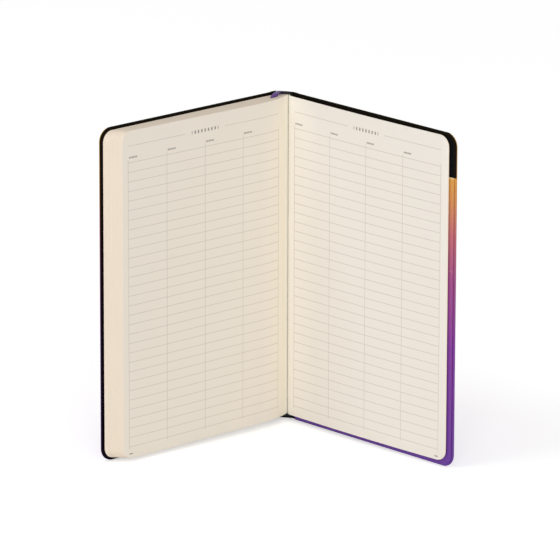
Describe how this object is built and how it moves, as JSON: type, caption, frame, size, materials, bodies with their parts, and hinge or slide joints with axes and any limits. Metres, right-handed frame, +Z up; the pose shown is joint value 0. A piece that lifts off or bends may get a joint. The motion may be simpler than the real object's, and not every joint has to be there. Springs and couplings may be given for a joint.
{
  "type": "lined notebook",
  "caption": "Hardback notebook with sewn ruled leaves, black endpapers, ribbon marker and a folded pocket inside the back cover.",
  "frame": {"origin": "centre of the standing book's bounding box, on the surface that the tail edges stand on", "axes": "+Z up from the tail to the head, +X to the right as the open pages are read, the reader stands at -Y"},
  "size_m": [0.1844, 0.0844, 0.18],
  "materials": {
    "cover_skin": "smooth soft matt, dyed in a vertical colour fade",
    "board": "black pressed board",
    "endpaper": "black uncoated paper",
    "page": "ivory ruled paper",
    "cloth": "open-weave lining cloth",
    "thread": "waxed sewing thread",
    "band": "woven band",
    "ribbon": "satin ribbon",
    "pocket": "smooth paper printed with a colour fade",
    "gusset": "thin folded cloth"
  },
  "bodies": {
    "spine": {"spine_skin": "cover_skin", "spine_card": "board", "spine_cloth": "cloth", "head_band": "band", "tail_band": "band", "section_2_fold": "page", "section_3_fold": "page", "section_4_fold": "page", "section_5_fold": "page", "section_6_fold": "page", "section_7_fold": "page", "section_8_fold": "page", "section_9_fold": "page", "sewing_thread_1": "thread", "sewing_thread_2": "thread", "sewing_thread_3": "thread", "sewing_thread_4": "thread"},
    "front_endleaf": {"front_flyleaf": "endpaper"},
    "front_cover": {"front_cover_skin": "cover_skin", "front_board": "board", "front_hinge_cloth": "cloth", "front_pastedown": "endpaper"},
    "back_endleaf": {"back_flyleaf": "endpaper"},
    "back_cover": {"back_cover_skin": "cover_skin", "back_board": "board", "back_hinge_cloth": "cloth", "back_pastedown": "endpaper", "pocket_sheet": "pocket", "pocket_gusset_fore": "gusset", "pocket_gusset_hinge": "gusset", "pocket_gusset_tail": "gusset"},
    "leaves_1": {"section_1_leaves": "page"},
    "leaves_2": {"section_2_leaves": "page"},
    "leaves_3": {"section_3_leaves": "page"},
    "leaves_4": {"section_4_leaves": "page", "ribbon_marker": "ribbon"},
    "leaves_5": {"section_5_leaves": "page"},
    "leaves_6": {"section_6_leaves": "page"},
    "leaves_7": {"section_7_leaves": "page"},
    "leaves_8": {"section_8_leaves": "page"},
    "leaves_9": {"section_9_leaves": "page"}
  },
  "joints": [
    {"name": "front_leaves_turn", "type": "hinge", "parent": "spine", "child": "front_endleaf", "pos_m": [-0.00317, 0.04143, 0], "axis": [0, 0, -1], "range_deg": [-36.6, 2]},
    {"name": "front_cover_open", "type": "hinge", "parent": "front_endleaf", "child": "front_cover", "pos_m": [-0.00317, 0.04143, 0], "axis": [0, 0, -1], "range_deg": [0, 90]},
    {"name": "back_leaves_turn", "type": "hinge", "parent": "spine", "child": "back_endleaf", "pos_m": [0.00607, 0.03947, 0], "axis": [0, 0, 1], "range_deg": [-58.5, 3]},
    {"name": "back_cover_open", "type": "hinge", "parent": "back_endleaf", "child": "back_cover", "pos_m": [0.00607, 0.03947, 0], "axis": [0, 0, 1], "range_deg": [0, 90]},
    {"name": "section_1_turn", "type": "hinge", "parent": "spine", "child": "leaves_1", "pos_m": [-0.00213, 0.04003, 0], "axis": [0, 0, -1], "range_deg": [-36.6, 2]},
    {"name": "section_2_turn", "type": "hinge", "parent": "spine", "child": "leaves_2", "pos_m": [-0.00173, 0.03829, 0], "axis": [0, 0, -1], "range_deg": [-37.02, 2.02]},
    {"name": "section_3_turn", "type": "hinge", "parent": "spine", "child": "leaves_3", "pos_m": [-0.00132, 0.03654, 0], "axis": [0, 0, -1], "range_deg": [-37.43, 2.05]},
    {"name": "section_4_turn", "type": "hinge", "parent": "spine", "child": "leaves_4", "pos_m": [-0.00091, 0.0348, 0], "axis": [0, 0, -1], "range_deg": [-37.84, 2.07]},
    {"name": "section_5_turn", "type": "hinge", "parent": "spine", "child": "leaves_5", "pos_m": [-0.00024, 0.033, 0], "axis": [0, 0, -1], "range_deg": [-38.26, 2.09]},
    {"name": "section_6_turn", "type": "hinge", "parent": "spine", "child": "leaves_6", "pos_m": [0.00017, 0.03126, 0], "axis": [0, 0, -1], "range_deg": [-38.67, 2.12]},
    {"name": "section_7_turn", "type": "hinge", "parent": "spine", "child": "leaves_7", "pos_m": [0.00057, 0.02952, 0], "axis": [0, 0, -1], "range_deg": [-39.09, 2.14]},
    {"name": "section_8_turn", "type": "hinge", "parent": "spine", "child": "leaves_8", "pos_m": [0.00098, 0.02777, 0], "axis": [0, 0, -1], "range_deg": [-39.5, 2.16]},
    {"name": "section_9_turn", "type": "hinge", "parent": "spine", "child": "leaves_9", "pos_m": [0.00304, 0.03382, 0], "axis": [0, 0, 1], "range_deg": [-60.6, 3.11]}
  ],
  "couplings": [
    {"joint": "section_1_turn", "follows": "front_leaves_turn", "ratio": 1},
    {"joint": "section_2_turn", "follows": "front_leaves_turn", "ratio": 1.0113},
    {"joint": "section_3_turn", "follows": "front_leaves_turn", "ratio": 1.0226},
    {"joint": "section_4_turn", "follows": "front_leaves_turn", "ratio": 1.034},
    {"joint": "section_5_turn", "follows": "front_leaves_turn", "ratio": 1.0453},
    {"joint": "section_6_turn", "follows": "front_leaves_turn", "ratio": 1.0566},
    {"joint": "section_7_turn", "follows": "front_leaves_turn", "ratio": 1.0679},
    {"joint": "section_8_turn", "follows": "front_leaves_turn", "ratio": 1.0792},
    {"joint": "section_9_turn", "follows": "back_leaves_turn", "ratio": 1.0359}
  ]
}
